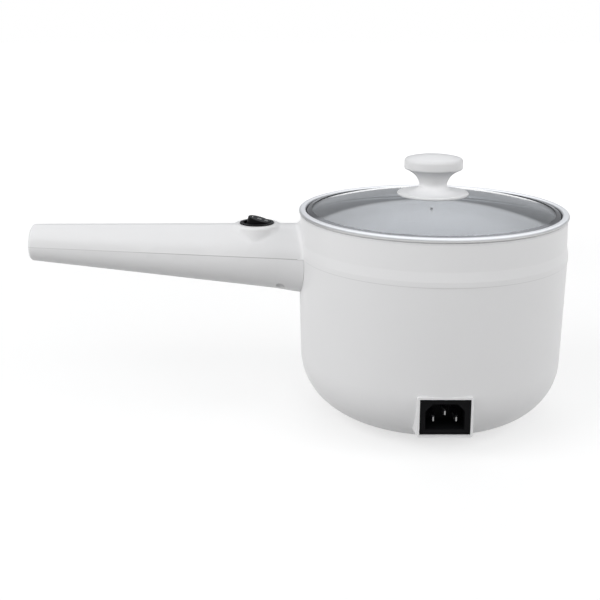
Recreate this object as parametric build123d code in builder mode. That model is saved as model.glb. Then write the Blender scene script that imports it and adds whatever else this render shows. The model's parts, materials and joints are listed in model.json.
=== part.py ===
# Electric hot pot with a lift-off glass lid, a long hollow handle and a rocker switch.
# Millimetres. +Z up, the table at z = 0 and the pot's axis on Z; the handle runs along -X
# and the mains inlet faces -Y.

import os
from math import atan2, cos, degrees, radians, sin, sqrt, tan

from build123d import *

os.makedirs("parts", exist_ok=True)

# ---------------------------------------------------------------- driving dimensions

# lower housing: a tapered bowl with a round lower corner
foot_height = 2.0           # underside of the housing above the table
seam_z = 109.4              # where the upper shell sits on the lower housing
housing_r = 88.7            # outer radius at the seam
housing_draft = 1.2         # degrees, the wall narrows downwards
housing_corner_r = 39.0
housing_wall = 2.2
tongue_t = 1.0              # locating lip that stands up inside the upper shell
tongue_h = 4.5
tongue_step = 0.3           # set back from the wall's inner surface
tongue_gap = 0.15

# collar of the upper shell
collar_h = 25.2
collar_lip = 0.3            # the lower edge stands this far proud of the housing
collar_lip_h = 3.2
collar_blend_h = 6.0        # height over which the lip fades into the wall
collar_inset = 0.7          # the wall above the lip, inside the housing's radius
collar_narrowing = 0.4      # from there to the top
collar_wall = 2.2

# handle: a hollow cone, split along its length
handle_axis_drop = 3.6      # its axis at the housing wall, below the seam
handle_root_r = 22.7
handle_tip_r = 12.2
handle_length = 178.6
handle_end_bulge = 1.3
handle_end_fillet = 2.6
handle_tilt = 3.25          # degrees, the axis rises towards the tip
handle_wall = 2.0
split_tilt = 1.8            # degrees, slope of the parting line
handle_bury = 9.0           # how far the cone starts inside the wall
handle_root_fillet = 3.5
root_flare = 0.7            # the lower cover widens by this much at the wall
root_flare_l = 15.5
cover_joint_gap = 0.1
root_screw_out = 11.7       # the pair of screws beside the wall
root_screw_y = 13.5
tip_screw_at = 0.83         # the third screw, as a share of the handle's length
screw_post_r = 3.8
screw_post_wall = 2.6

# small self-tapping screws
small_screw_r = 1.5
small_head_r = 2.9
small_head_h = 2.0
small_screw_grip = 9.0
head_gap = 0.2

# rocker switch
switch_out = 27.9           # its centre's distance from the housing wall
switch_seat_r = 15.6
switch_seat_rise = 0.5      # above the handle's crest at the wall
switch_seat_h = 2.2         # rounded edge of the seat, flaring below it
switch_seat_round = 2.0
switch_seat_blend = 0.9     # its rounding, as a share of the handle's width beside the seat
switch_flare_bite = 1.08    # the flare's radius over that of one tangent to the handle
switch_hole_r = 10.0
switch_body_gap = 0.1
bezel_r = 11.45
bezel_t = 0.7
switch_body_h = 13.5
switch_floor = 3.0
rocker_r = 7.5
rocker_gap = 0.3
rocker_throw = 16.0         # degrees each side of level
rocker_top = 6.0            # top face above the pivot when level
rocker_sink = 2.9           # pivot below the face that carries the bezel
rocker_swing = 1.4          # extra half length of the opening for the swing
pivot_pin_r = 1.2
pivot_clearance = 0.05
pivot_pin_reach = 9.3
terminal_pitch = 5.5
terminal_w = 4.8
terminal_t = 0.8
terminal_drop = 8.0

# inner pot, pressed steel with a rolled bead
pot_t = 0.6
pot_floor_z = 40.0          # underside of the pot
pot_inset = 7.5             # from the housing's outer radius to the pot's
pot_corner_r = 22.0
rest_drop = 1.4             # the step that carries the lid, below the collar's top
rest_bend_r = 1.2
bead_rise = 1.4             # underside of the bead above the collar's top
bead_inset = 0.15           # from the housing's outer radius to the bead's
bead_w = 4.6                # across the flattened roll
bead_h = 3.0
bead_round = 1.1
bead_curl = 2.4             # how far the sheet turns in under the roll
gasket_gap = 0.1

# lid
lid_clearance = 0.58        # between the lid's rim and the pot's bead
dome_edge_rise = 4.5        # edge of the glass above the step
dome_h = 11.3
glass_t = 4.5
glass_ground = 0.4
glass_side_gap = 0.2
lid_rim_t = 0.5
lid_rim_cover = 2.6         # the rim's reach over the glass
lid_rim_fold = 1.9          # and its reach under the glass
lid_rim_bend = 0.85
lid_rim_gap = 0.03
lid_rest_gap = 0.2
vent_r = 0.8
vent_at = (-5.5, -37.0)

# knob
knob_disc_r = 23.4
knob_disc_edge = 2.1
knob_stem_r = 9.2
knob_stem_rise = 6.0        # its narrowest place, above the top of the glass
knob_cap_r = 19.3
knob_cap_rise = 16.9        # lower edge of the cap, above the top of the glass
knob_cap_h = 6.6
knob_h = 26.2
knob_foot_curve = ((0.38, 0.19), (0.09, 0.55))                    # shares of width and height
knob_neck_curve = ((0.07, 0.275), (0.25, 0.55), (0.555, 0.79))    # between stem and cap
knob_edge_r = 2.6
knob_under_r = 1.4          # rounding of the cap's lower edge
knob_disc_round = 0.9
insert_r = 3.6
insert_h = 12.0
knob_screw_r = 2.0
knob_screw_grip = 9.0
knob_head_r = 4.2
knob_head_h = 2.4
knob_hole_gap = 1.0
knob_pad_r = 11.0
knob_pad_t = 1.2
knob_washer_r = 9.0
knob_washer_t = 1.0

# base cover, feet and long screws
cover_r = 44.0
cover_t = 2.0
cover_gap = 0.3
ledge_t = 2.0
ledge_w = 6.0
ledge_land = 3.0
foot_r = 5.0
foot_ring_r = 36.5
foot_pocket = 0.8
foot_count = 4
standoff_r = 3.5
standoff_ring_r = 33.0
standoff_count = 3
long_screw_r = 2.0
long_head_r = 3.6
long_head_h = 2.4
long_screw_grip = 10.0
boss_r = 4.6
boss_h = 2.6

# heating plate, tubular element, thermostat and fuse
plate_r = 52.0
plate_t = 4.0
element_r = 40.0
element_tube_r = 3.25
element_sink = 1.6          # centre of the tube below the plate's underside
element_gap = 22.0          # degrees each side of the -Y direction
element_bend = 6.0
element_leg = 6.0
element_pin_r = 1.2
element_pin_h = 6.0
thermo_cap_r = 8.0
thermo_cap_t = 1.6
thermo_body_r = 7.4
thermo_body_h = 9.0
thermo_ear_span = 24.0
thermo_ear_w = 8.0
thermo_ear_t = 0.8
thermo_tab_w = 6.3
thermo_tab_t = 0.8
thermo_tab_out = 9.6
thermo_screw_h = 2.0
fuse_r = 2.0
fuse_l = 13.0
fuse_y = -20.0
fuse_clip_t = 0.8
fuse_clip_w = 7.0
fuse_clip_ear = 5.8
rivet_r = 1.0
rivet_head_r = 1.8
rivet_head_h = 0.9
earth_y = -33.0
lug_r = 4.0
lug_t = 0.8

# mains inlet, three-pin appliance socket
inlet_z = 27.7
inlet_set_back = 1.3        # front of the boss, inside the housing's radius
inlet_flange_w = 30.8
inlet_flange_h = 22.6
inlet_flange_t = 1.2
inlet_recess = 2.3
inlet_body_w = 27.0
inlet_body_h = 19.8
inlet_body_d = 20.0
inlet_gap = 0.2
inlet_frame = 1.4           # width of the white frame around the flange
inlet_boss_draft = 8.0      # degrees
inlet_boss_depth = 12.0
socket_w = 24.0
socket_h = 16.4
socket_chamfer = 4.6
socket_d = 17.0
blade_w = 2.0
blade_h = 4.0
blade_l = 15.5
blade_pitch = 14.0
blade_rise = 2.0            # the earth blade above centre, the others below
tab_w = 6.3
tab_t = 0.8
tab_l = 8.0

# crimped receptacles on the tabs, and the leads
sleeve_t = 1.1
sleeve_over = 2.4
wire_r = 1.0
wire_pair = 1.3             # two leads on one tab, from its middle
lane = 6.0                  # spacing of the leads that run up into the handle
channel_gap = 1.0           # between the pot's wall and the leads beside it
lead_turn = 7.2             # where they start to climb, inwards of that channel
diode_r = 2.3
diode_l = 16.0

# ---------------------------------------------------------------- derived values

housing_slope = tan(radians(housing_draft))
tongue_in_r = housing_r - housing_wall + tongue_step
collar_top_z = seam_z + collar_h
collar_lip_r = housing_r + collar_lip
collar_r = housing_r - collar_inset
collar_top_r = collar_r - collar_narrowing

pot_r = housing_r - pot_inset
pot_sheet_mid = pot_t / 2
rest_z = collar_top_z - rest_drop
bead_low_z = collar_top_z + bead_rise + pot_sheet_mid          # middle of the sheet
bead_top_z = bead_low_z + bead_h - pot_t
bead_r = housing_r - bead_inset - pot_sheet_mid
seat_r = bead_r - bead_w + pot_t                    # middle of the sheet above the step

lid_rim_r = seat_r - pot_sheet_mid - lid_clearance
glass_r = lid_rim_r - lid_rim_t - glass_side_gap
lid_rim_inner_r = glass_r - lid_rim_cover
lid_rim_lip_r = glass_r - lid_rim_fold
dome_edge_z = rest_z + dome_edge_rise
dome_top_z = dome_edge_z + dome_h
dome_r = (glass_r**2 + (dome_top_z - dome_edge_z) ** 2) / (2 * (dome_top_z - dome_edge_z))
glass_under_z = dome_top_z - glass_t
glass_under_r = dome_r - glass_t
lid_lip_z = rest_z + lid_rest_gap + lid_rim_t       # upper face of the folded lip

knob_stem_z = dome_top_z + knob_stem_rise
knob_cap_z = dome_top_z + knob_cap_rise
knob_crown_z = dome_top_z + knob_h

handle_root_z = seam_z - handle_axis_drop
handle_axis_dir = Vector(-cos(radians(handle_tilt)), 0, sin(radians(handle_tilt)))
handle_root = Vector(-housing_r, 0, handle_root_z)
handle_plane = Plane(origin=handle_root, x_dir=handle_axis_dir, z_dir=(0, 1, 0))
handle_axis = Axis(handle_root, handle_axis_dir)
handle_taper = (handle_root_r - handle_tip_r) / handle_length

split_up = Vector(sin(radians(split_tilt)), 0, cos(radians(split_tilt)))
split_start_x = -(housing_r - handle_bury * 2 / 3)

switch_x = -(housing_r + switch_out)
switch_seat_z = handle_root_z + handle_root_r + switch_seat_rise
pivot_z = switch_seat_z - rocker_sink
switch_floor_z = switch_seat_z - switch_body_h
cover_top_z = foot_height + cover_t
plate_z = pot_floor_z - plate_t                     # underside of the heating plate
element_z = plate_z - element_sink


def split_plane(x, y=0.0):
    """Parting plane of the handle, with its origin at a given x and y."""
    height = seam_z + (split_start_x - x) * tan(radians(split_tilt))
    return Plane(origin=(x, y, height), x_dir=(split_up.Z, 0, -split_up.X), z_dir=split_up)


def handle_radius(along, inset):
    return handle_root_r - handle_taper * along - inset


def dome_height(r, radius=dome_r, top=dome_top_z):
    """Height of a dome's surface at a distance from the axis."""
    return top - radius + sqrt(radius**2 - r**2)


def dome_arc(r1, r2, radius=dome_r, top=dome_top_z):
    """Arc along a dome between two distances from the axis."""
    ends = [(r, dome_height(r, radius, top)) for r in (r1, (r1 + r2) / 2, r2)]
    return ThreePointArc(*ends)


def bowl_section(inset):
    """Half section of the bowl, moved inwards from the outer surface."""
    side_r = housing_r - inset / cos(radians(housing_draft))
    low_z = foot_height + inset
    low_r = side_r - (seam_z - low_z) * housing_slope
    with BuildSketch(Plane.XZ) as section:
        with BuildLine():
            Polyline((0, low_z), (low_r, low_z), (side_r, seam_z), (0, seam_z), close=True)
        make_face()
        corner = section.vertices().sort_by_distance((low_r, low_z))[0]
        fillet(corner, radius=housing_corner_r - inset)
    return section.sketch


def handle_section(inset):
    """Half section of the handle, moved inwards from the outer surface."""
    end = handle_length - inset
    bulge_end = end + handle_end_bulge
    with BuildSketch(handle_plane) as section:
        with BuildLine():
            Line((-handle_bury, 0), (-handle_bury, handle_radius(-handle_bury, inset)))
            Line((-handle_bury, handle_radius(-handle_bury, inset)), (end, handle_radius(end, inset)))
            half = handle_radius(end, inset) / 2
            ThreePointArc(
                (end, handle_radius(end, inset)),
                (end + handle_end_bulge * 0.75, half),
                (bulge_end, 0),
            )
            Line((bulge_end, 0), (-handle_bury, 0))
        make_face()
        corner = section.vertices().sort_by_distance((end, handle_radius(end, inset)))[0]
        fillet(corner, radius=max(handle_end_fillet - inset, 0.5))
    return section.sketch


def finish(piece, name):
    piece.part.label = name
    export_step(piece.part, f"parts/{name}.step")


def route(points, ratio=0.45):
    """Corner points and arc radii, each arc as large as its two runs allow."""
    path = [Vector(*p) for p in points]
    radii = []
    for before, corner, after in zip(path, path[1:], path[2:]):
        turn = radians((corner - before).get_angle(after - corner))
        shorter = min((corner - before).length, (after - corner).length)
        radii.append(ratio * shorter / tan(turn / 2))
    return path, radii


def lead(name, points):
    """An insulated wire along a route."""
    path, radii = route(points)
    with BuildPart() as wire:
        with BuildLine() as centre:
            FilletPolyline(*path, radius=radii)
        with BuildSketch(Plane(origin=path[0], z_dir=path[1] - path[0])):
            Circle(wire_r)
        sweep(path=centre.line)
    print(name, "tightest bend", round(min(radii), 1), "length", round(centre.wire().length, 1))
    finish(wire, name)
    return wire


# ---------------------------------------------------------------- handle forms

with BuildPart() as handle_form:
    revolve(handle_section(0), axis=handle_axis)

with BuildPart() as handle_bore:
    revolve(handle_section(handle_wall), axis=handle_axis)

with BuildPart() as handle_middle:
    revolve(handle_section(handle_wall / 2), axis=handle_axis)

screw_planes = [
    split_plane(-(housing_r + root_screw_out), -root_screw_y),
    split_plane(-(housing_r + root_screw_out), root_screw_y),
    split_plane(-(housing_r + tip_screw_at * handle_length)),
]

with BuildPart() as post_forms:
    with BuildSketch(*screw_planes):
        Circle(screw_post_r)
    extrude(amount=handle_root_r)
    add(handle_middle.part, mode=Mode.INTERSECT)

with BuildPart() as cover_tube_forms:
    with BuildSketch(*screw_planes):
        Circle(small_head_r + head_gap + screw_post_wall / 2)
    extrude(amount=-handle_root_r)
    add(handle_middle.part, mode=Mode.INTERSECT)

# ---------------------------------------------------------------- upper shell

collar_in_r = collar_r - collar_wall
groove_r = tongue_in_r + tongue_t + tongue_gap
lip_end_z = seam_z + collar_lip_h + collar_blend_h
collar_slope = collar_narrowing / (collar_top_z - lip_end_z)
collar_seam_r = collar_r + (lip_end_z - seam_z) * collar_slope

# the switch's seat flares down onto the handle's side
switch_axis_z = handle_root_z + switch_out * tan(radians(handle_tilt))
switch_handle_r = handle_radius(switch_out, 0)
flare_drop = switch_seat_z - switch_seat_h - switch_axis_z
tangent_r = (switch_seat_r**2 + flare_drop**2 - switch_handle_r**2) / (2 * (switch_handle_r - switch_seat_r))
switch_flare_r = switch_flare_bite * tangent_r
switch_flare_turn = degrees(atan2(flare_drop, switch_seat_r + switch_flare_r))

with BuildPart() as upper_shell:
    # upper half of the handle, with the round seat of the switch
    add(handle_form.part)
    with BuildSketch(Plane(origin=(switch_x, 0, 0), x_dir=(1, 0, 0), z_dir=(0, -1, 0))) as seat_profile:
        with BuildLine():
            Polyline(
                (0, handle_root_z),
                (0, switch_seat_z),
                (switch_seat_r, switch_seat_z),
                (switch_seat_r, switch_seat_z - switch_seat_h),
            )
            flare = CenterArc(
                (switch_seat_r + switch_flare_r, switch_seat_z - switch_seat_h),
                switch_flare_r,
                180,
                switch_flare_turn,
            )
            Polyline(flare @ 1, (switch_seat_r, handle_root_z), (0, handle_root_z))
        make_face()
        seat_corner = seat_profile.vertices().sort_by_distance((switch_seat_r, switch_seat_z))[0]
        fillet(seat_corner, radius=switch_seat_round)
    revolve(axis=Axis((switch_x, 0, 0), (0, 0, 1)))
    seat_edges = upper_shell.edges(Select.LAST).filter_by(GeomType.BSPLINE)
    seat_edges = seat_edges.filter_by_position(Axis.Z, handle_root_z, switch_seat_z)
    fillet(seat_edges, radius=switch_seat_blend * (switch_handle_r - switch_seat_r))
    split(bisect_by=split_plane(split_start_x), keep=Keep.TOP)
    with BuildSketch(Plane.XY.offset(foot_height)):
        Circle((collar_in_r + collar_top_r) / 2)
    extrude(amount=collar_top_z, mode=Mode.SUBTRACT)
    # collar, with a rounded corner towards the handle
    with BuildSketch(Plane.XZ):
        with BuildLine():
            Polyline(
                (collar_in_r, seam_z),
                (collar_seam_r, seam_z),
                (collar_top_r, collar_top_z),
                (collar_in_r, collar_top_z),
                close=True,
            )
        make_face()
    revolve(axis=Axis.Z)
    root_edges = upper_shell.edges().filter_by(GeomType.BSPLINE)
    root_edges = root_edges.filter_by_position(Axis.X, -housing_r, -pot_r)
    root_edges = root_edges.filter_by_position(Axis.Z, seam_z + tongue_gap, collar_top_z)
    fillet(root_edges, radius=handle_root_fillet)
    # proud lower edge, and a groove for the tongue
    with BuildSketch(Plane.XZ):
        with BuildLine():
            Polyline(
                (collar_in_r, seam_z),
                (collar_lip_r, seam_z),
                (collar_lip_r, seam_z + collar_lip_h),
                (collar_r, lip_end_z),
                (collar_in_r, lip_end_z),
                close=True,
            )
        make_face()
    revolve(axis=Axis.Z)
    with BuildSketch(Plane.XY.offset(seam_z)):
        Circle(groove_r)
    extrude(amount=tongue_h + tongue_gap, mode=Mode.SUBTRACT)
    # the bore of the handle opens into the housing
    add(handle_bore.part, mode=Mode.SUBTRACT)
    add(post_forms.part)
    with BuildSketch(*screw_planes):
        Circle(small_screw_r)
    extrude(amount=small_screw_grip, mode=Mode.SUBTRACT)
    with BuildSketch(Plane.XY.offset(switch_seat_z)):
        with Locations((switch_x, 0)):
            Circle(switch_hole_r)
    extrude(amount=-switch_seat_r, mode=Mode.SUBTRACT)
finish(upper_shell, "upper_shell")

# ---------------------------------------------------------------- lower housing

inlet_plane = Plane(origin=(0, inlet_set_back - housing_r, inlet_z), x_dir=(1, 0, 0), z_dir=(0, -1, 0))
boss_w = inlet_flange_w + 2 * (inlet_gap + inlet_frame)
boss_hgt = inlet_flange_h + 2 * (inlet_gap + inlet_frame)

with BuildPart() as lower_housing:
    revolve(bowl_section(0), axis=Axis.Z)
    # inlet boss, flaring towards the bowl, cut flat in front
    with BuildSketch(inlet_plane):
        RectangleRounded(boss_w, boss_hgt, inlet_frame)
    extrude(amount=-inlet_boss_depth, taper=-inlet_boss_draft)
    revolve(bowl_section(housing_wall), axis=Axis.Z, mode=Mode.SUBTRACT)
    add(handle_bore.part, mode=Mode.SUBTRACT)
    # locating tongue, left out where the handle opens
    with BuildSketch(Plane.XY.offset(seam_z)):
        Circle(tongue_in_r + tongue_t)
        Circle(tongue_in_r, mode=Mode.SUBTRACT)
        with Locations((-housing_r, 0)):
            Rectangle(housing_r, 2 * handle_root_r, mode=Mode.SUBTRACT)
    extrude(amount=tongue_h)
    # opening in the base with a ledge for the cover
    with BuildSketch(Plane.XY.offset(foot_height)):
        Circle(cover_r + ledge_land)
    extrude(amount=cover_t + ledge_t)
    with BuildSketch(Plane.XY.offset(foot_height)):
        Circle(cover_r + cover_gap)
    extrude(amount=cover_t, mode=Mode.SUBTRACT)
    with BuildSketch(Plane.XY.offset(foot_height)):
        Circle(cover_r - ledge_w)
    extrude(amount=cover_t + ledge_t, mode=Mode.SUBTRACT)
    # seat and opening for the inlet
    with BuildSketch(inlet_plane):
        Rectangle(inlet_flange_w + 2 * inlet_gap, inlet_flange_h + 2 * inlet_gap)
    extrude(amount=-inlet_recess, mode=Mode.SUBTRACT)
    with BuildSketch(inlet_plane):
        Rectangle(inlet_body_w + 2 * inlet_gap, inlet_body_h + 2 * inlet_gap)
    extrude(amount=-(inlet_boss_depth + inlet_body_d), mode=Mode.SUBTRACT)
finish(lower_housing, "lower_housing")

# ---------------------------------------------------------------- lower cover of the handle

cover_screw_head_z = small_screw_grip / 3           # the head sits this far below the split
head_planes = [plane.offset(-cover_screw_head_z) for plane in screw_planes]

flare_slope = root_flare / root_flare_l
flare_end = root_flare_l + handle_wall

with BuildPart() as handle_cover:
    add(handle_form.part)
    with BuildSketch(handle_plane):
        with BuildLine():
            Polyline(
                (-handle_bury, 0),
                (-handle_bury, handle_radius(-handle_bury, 0) + root_flare + handle_bury * flare_slope),
                (flare_end, handle_radius(flare_end, 0) - handle_wall * flare_slope),
                (flare_end, 0),
                close=True,
            )
        make_face()
    revolve(axis=handle_axis)
    add(handle_bore.part, mode=Mode.SUBTRACT)
    add(cover_tube_forms.part)
    split(bisect_by=split_plane(split_start_x), keep=Keep.BOTTOM)
    # clear the housing's wall and the collar's lip
    wall_r = housing_r + cover_joint_gap
    with BuildSketch(Plane.XZ):
        with BuildLine():
            Polyline(
                (0, foot_height),
                (wall_r - (seam_z - foot_height) * housing_slope, foot_height),
                (wall_r, seam_z),
                (collar_lip_r + cover_joint_gap, seam_z),
                (collar_lip_r + cover_joint_gap, collar_top_z),
                (0, collar_top_z),
                close=True,
            )
        make_face()
    revolve(axis=Axis.Z, mode=Mode.SUBTRACT)
    with BuildSketch(*screw_planes):
        Circle(small_screw_r + head_gap)
    extrude(amount=-handle_root_r, mode=Mode.SUBTRACT)
    with BuildSketch(*head_planes):
        Circle(small_head_r + head_gap)
    extrude(amount=-handle_root_r, mode=Mode.SUBTRACT)
finish(handle_cover, "handle_cover")

with BuildPart() as handle_screws:
    with BuildSketch(*head_planes):
        Circle(small_head_r)
    extrude(amount=-small_head_h)
    with BuildSketch(*head_planes):
        Circle(small_screw_r)
    extrude(amount=cover_screw_head_z + small_screw_grip - head_gap)
finish(handle_screws, "handle_screws")

# ---------------------------------------------------------------- base cover, feet, screws

with BuildPart() as base_cover:
    with BuildSketch(Plane.XY.offset(foot_height)):
        Circle(cover_r)
    extrude(amount=cover_t)
    with BuildSketch(Plane.XY.offset(cover_top_z)):
        with PolarLocations(standoff_ring_r, standoff_count, start_angle=90):
            Circle(boss_r)
    extrude(amount=boss_h)
    with BuildSketch(Plane.XY.offset(foot_height)):
        with PolarLocations(standoff_ring_r, standoff_count, start_angle=90):
            Circle(long_screw_r + head_gap)
    extrude(amount=cover_t + boss_h, mode=Mode.SUBTRACT)
    with BuildSketch(Plane.XY.offset(foot_height)):
        with PolarLocations(standoff_ring_r, standoff_count, start_angle=90):
            Circle(long_head_r + head_gap)
    extrude(amount=long_head_h + head_gap, mode=Mode.SUBTRACT)
    with BuildSketch(Plane.XY.offset(foot_height)):
        with PolarLocations(foot_ring_r, foot_count, start_angle=45):
            Circle(foot_r)
    extrude(amount=foot_pocket, mode=Mode.SUBTRACT)
finish(base_cover, "base_cover")

with BuildPart() as base_feet:
    with BuildSketch():
        with PolarLocations(foot_ring_r, foot_count, start_angle=45):
            Circle(foot_r)
    extrude(amount=foot_height + foot_pocket)
    chamfer(base_feet.faces().sort_by(Axis.Z)[:foot_count].edges(), length=foot_height / 4)
finish(base_feet, "base_feet")

head_top_z = foot_height + long_head_h + head_gap
with BuildPart() as base_screws:
    with BuildSketch(Plane.XY.offset(head_top_z)):
        with PolarLocations(standoff_ring_r, standoff_count, start_angle=90):
            Circle(long_head_r)
    extrude(amount=-long_head_h)
    with BuildSketch(Plane.XY.offset(head_top_z)):
        with PolarLocations(standoff_ring_r, standoff_count, start_angle=90):
            Circle(long_screw_r)
    extrude(amount=cover_top_z + boss_h - head_top_z + long_screw_grip)
finish(base_screws, "base_screws")

with BuildPart() as plate_standoffs:
    with BuildSketch(Plane.XY.offset(cover_top_z + boss_h)):
        with PolarLocations(standoff_ring_r, standoff_count, start_angle=90):
            Circle(standoff_r)
    extrude(amount=plate_z - cover_top_z - boss_h)
    with BuildSketch(Plane.XY.offset(cover_top_z + boss_h)):
        with PolarLocations(standoff_ring_r, standoff_count, start_angle=90):
            Circle(long_screw_r)
    extrude(amount=long_screw_grip + head_gap, mode=Mode.SUBTRACT)
finish(plate_standoffs, "plate_standoffs")

# ---------------------------------------------------------------- inner pot and its seal

pot_mid_r = pot_r - pot_sheet_mid

with BuildPart() as inner_pot:
    with BuildSketch(Plane.XZ):
        with BuildLine():
            FilletPolyline(
                (0, pot_floor_z + pot_sheet_mid),
                (pot_mid_r, pot_floor_z + pot_sheet_mid),
                (pot_mid_r, rest_z - pot_sheet_mid),
                (seat_r, rest_z - pot_sheet_mid),
                (seat_r, bead_top_z),
                (bead_r, bead_top_z),
                (bead_r, bead_low_z),
                (bead_r - bead_curl, bead_low_z),
                radius=[pot_corner_r + pot_sheet_mid, rest_bend_r, rest_bend_r, *[bead_round] * 3],
            )
        trace(line_width=pot_t)
    revolve(axis=Axis.Z)
finish(inner_pot, "inner_pot")

with BuildPart() as rim_gasket:
    with BuildSketch(Plane.XY.offset(collar_top_z)):
        Circle(collar_top_r)
        Circle(collar_in_r, mode=Mode.SUBTRACT)
    extrude(amount=bead_rise - gasket_gap)
finish(rim_gasket, "rim_gasket")

# ---------------------------------------------------------------- heating plate and element

leg_angles = (270 - element_gap, 270 + element_gap)
rivet_reach = fuse_r + fuse_clip_ear / 2 + fuse_clip_t / 2
rivet_spots = ((0, fuse_y + rivet_reach), (0, fuse_y - rivet_reach))

with BuildPart() as element_tube:
    with BuildLine() as element_path:
        ring = CenterArc((0, 0, element_z), element_r, leg_angles[1], 360 - 2 * element_gap)
        for end, away in ((ring @ 0, -(ring % 0)), (ring @ 1, ring % 1)):
            low = end + away * element_bend - Vector(0, 0, element_bend)
            TangentArc(end, low, tangent=away)
            Line(low, low - Vector(0, 0, element_leg))
    leg_end = element_path.vertices().sort_by(Axis.Z)[0]
    with BuildSketch(Plane(origin=leg_end.center(), z_dir=(0, 0, 1))):
        Circle(element_tube_r)
    sweep(path=element_path.line)
finish(element_tube, "element_tube")

leg_faces = element_tube.faces().filter_by(Plane.XY).sort_by(Axis.Z)[:2]
leg_points = [face.center() for face in leg_faces.sort_by(Axis.X)]
leg_z = leg_points[0].Z

with BuildPart() as element_pins:
    with BuildSketch(Plane.XY.offset(leg_z)):
        with Locations(*[(p.X, p.Y) for p in leg_points]):
            Circle(element_pin_r)
    extrude(amount=-element_pin_h)
finish(element_pins, "element_pins")

with BuildPart() as heating_plate:
    with BuildSketch(Plane.XY.offset(plate_z)):
        Circle(plate_r)
    extrude(amount=plate_t)
    chamfer(heating_plate.edges().group_by(Axis.Z)[0], length=plate_t / 4)
    add(element_tube.part, mode=Mode.SUBTRACT)
    with BuildSketch(Plane.XY.offset(plate_z)):
        with Locations((thermo_ear_span / 2, 0), (-thermo_ear_span / 2, 0), (0, earth_y)):
            Circle(small_screw_r)
        with Locations(*rivet_spots):
            Circle(rivet_r)
    extrude(amount=plate_t / 2, mode=Mode.SUBTRACT)
finish(heating_plate, "heating_plate")

# ---------------------------------------------------------------- thermostat

thermo_low_z = plate_z - thermo_cap_t - thermo_body_h
thermo_tab_z = thermo_low_z + thermo_body_h / 3

with BuildPart() as thermostat_tabs:
    with BuildSketch(Plane.XY.offset(thermo_tab_z)):
        Rectangle(thermo_tab_w, 2 * (thermo_body_r + thermo_tab_out))
        Rectangle(thermo_tab_w, thermo_body_r, mode=Mode.SUBTRACT)
    extrude(amount=thermo_tab_t)
finish(thermostat_tabs, "thermostat_tabs")

with BuildPart() as thermostat_body:
    with BuildSketch(Plane.XY.offset(thermo_low_z)):
        Circle(thermo_body_r)
    extrude(amount=thermo_body_h)
    add(thermostat_tabs.part, mode=Mode.SUBTRACT)
finish(thermostat_body, "thermostat_body")

with BuildPart() as thermostat_cap:
    with BuildSketch(Plane.XY.offset(plate_z)):
        Circle(thermo_cap_r)
    extrude(amount=-thermo_cap_t)
    with BuildSketch(Plane.XY.offset(plate_z)):
        SlotOverall(thermo_ear_span + thermo_ear_w, thermo_ear_w)
    extrude(amount=-thermo_ear_t)
    with BuildSketch(Plane.XY.offset(plate_z)):
        with Locations((thermo_ear_span / 2, 0), (-thermo_ear_span / 2, 0)):
            Circle(small_screw_r)
    extrude(amount=-thermo_ear_t, mode=Mode.SUBTRACT)
finish(thermostat_cap, "thermostat_cap")

with BuildPart() as thermostat_screws:
    with BuildSketch(Plane.XY.offset(plate_z - thermo_ear_t)):
        with Locations((thermo_ear_span / 2, 0), (-thermo_ear_span / 2, 0)):
            Circle(small_head_r)
    extrude(amount=-thermo_screw_h)
    with BuildSketch(Plane.XY.offset(plate_z - thermo_ear_t)):
        with Locations((thermo_ear_span / 2, 0), (-thermo_ear_span / 2, 0)):
            Circle(small_screw_r)
    extrude(amount=thermo_ear_t + plate_t / 2)
finish(thermostat_screws, "thermostat_screws")

# ---------------------------------------------------------------- thermal fuse and earth lug

fuse_plane = Plane(origin=(0, fuse_y, plate_z - fuse_r), x_dir=(0, 1, 0), z_dir=(1, 0, 0))

with BuildPart() as thermal_fuse:
    with BuildSketch(fuse_plane):
        Circle(fuse_r)
    extrude(amount=fuse_l / 2, both=True)
finish(thermal_fuse, "thermal_fuse")

with BuildPart() as fuse_clip:
    with BuildSketch(fuse_plane):
        Circle(fuse_r + fuse_clip_t)
        with Locations((0, fuse_r - fuse_clip_t / 2)):
            Rectangle(2 * (fuse_r + fuse_clip_ear), fuse_clip_t)
        with Locations((0, fuse_r + fuse_clip_t)):
            Rectangle(2 * (fuse_r + fuse_clip_ear), 2 * fuse_clip_t, mode=Mode.SUBTRACT)
        Circle(fuse_r, mode=Mode.SUBTRACT)
        with Locations((0, fuse_r / 2)):
            Rectangle(2 * fuse_r, fuse_r, mode=Mode.SUBTRACT)
    extrude(amount=fuse_clip_w / 2, both=True)
    with BuildSketch(Plane.XY.offset(plate_z)):
        with Locations(*rivet_spots):
            Circle(rivet_r)
    extrude(amount=-fuse_clip_t, mode=Mode.SUBTRACT)
finish(fuse_clip, "fuse_clip")

with BuildPart() as fuse_rivets:
    with BuildSketch(Plane.XY.offset(plate_z - fuse_clip_t)):
        with Locations(*rivet_spots):
            Circle(rivet_head_r)
    extrude(amount=-rivet_head_h)
    with BuildSketch(Plane.XY.offset(plate_z - fuse_clip_t)):
        with Locations(*rivet_spots):
            Circle(rivet_r)
    extrude(amount=fuse_clip_t + plate_t / 2)
finish(fuse_rivets, "fuse_rivets")

with BuildPart() as earth_lug:
    with BuildSketch(Plane.XY.offset(plate_z)):
        with Locations((0, earth_y)):
            Circle(lug_r)
        with Locations((0, earth_y - lug_r)):
            Rectangle(lug_r, lug_r * 2)
        with Locations((0, earth_y)):
            Circle(small_screw_r, mode=Mode.SUBTRACT)
    extrude(amount=-lug_t)
finish(earth_lug, "earth_lug")

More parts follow.
